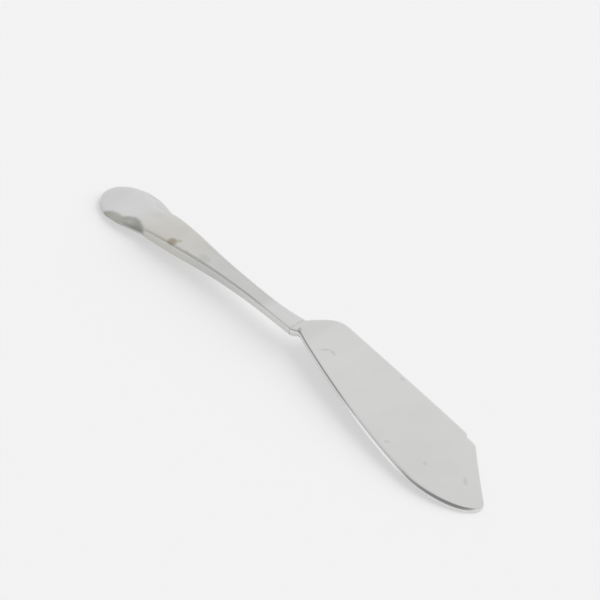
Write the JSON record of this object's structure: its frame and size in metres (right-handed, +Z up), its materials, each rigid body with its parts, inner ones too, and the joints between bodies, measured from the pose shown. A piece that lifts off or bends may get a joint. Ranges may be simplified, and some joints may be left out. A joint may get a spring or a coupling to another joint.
{
  "type": "butter knife",
  "caption": "All-metal butter knife: a flat, notched leaf with a slanted tip, on a slim arched hollow handle that ends in a broad rounded terminal.",
  "frame": {"origin": "on the table, midway between the end of the terminal and the tip of the blade, on the handle's centre line", "axes": "+X from the terminal to the tip, +Y to the spine, +Z up from the table that the knife lies on"},
  "size_m": [0.178, 0.0244, 0.0088],
  "materials": {
    "blade_steel": "satin, with fine wear and smudges",
    "handle_plate": "nickel silver with worn silver plate, tarnished in its relief",
    "solder": "dull",
    "cement": "matte"
  },
  "bodies": {
    "root": {"blade": "blade_steel", "handle_top_shell": "handle_plate", "handle_bottom_shell": "handle_plate", "seam_solder": "solder", "mouth_solder": "solder", "handle_cement": "cement"}
  },
  "joints": []
}
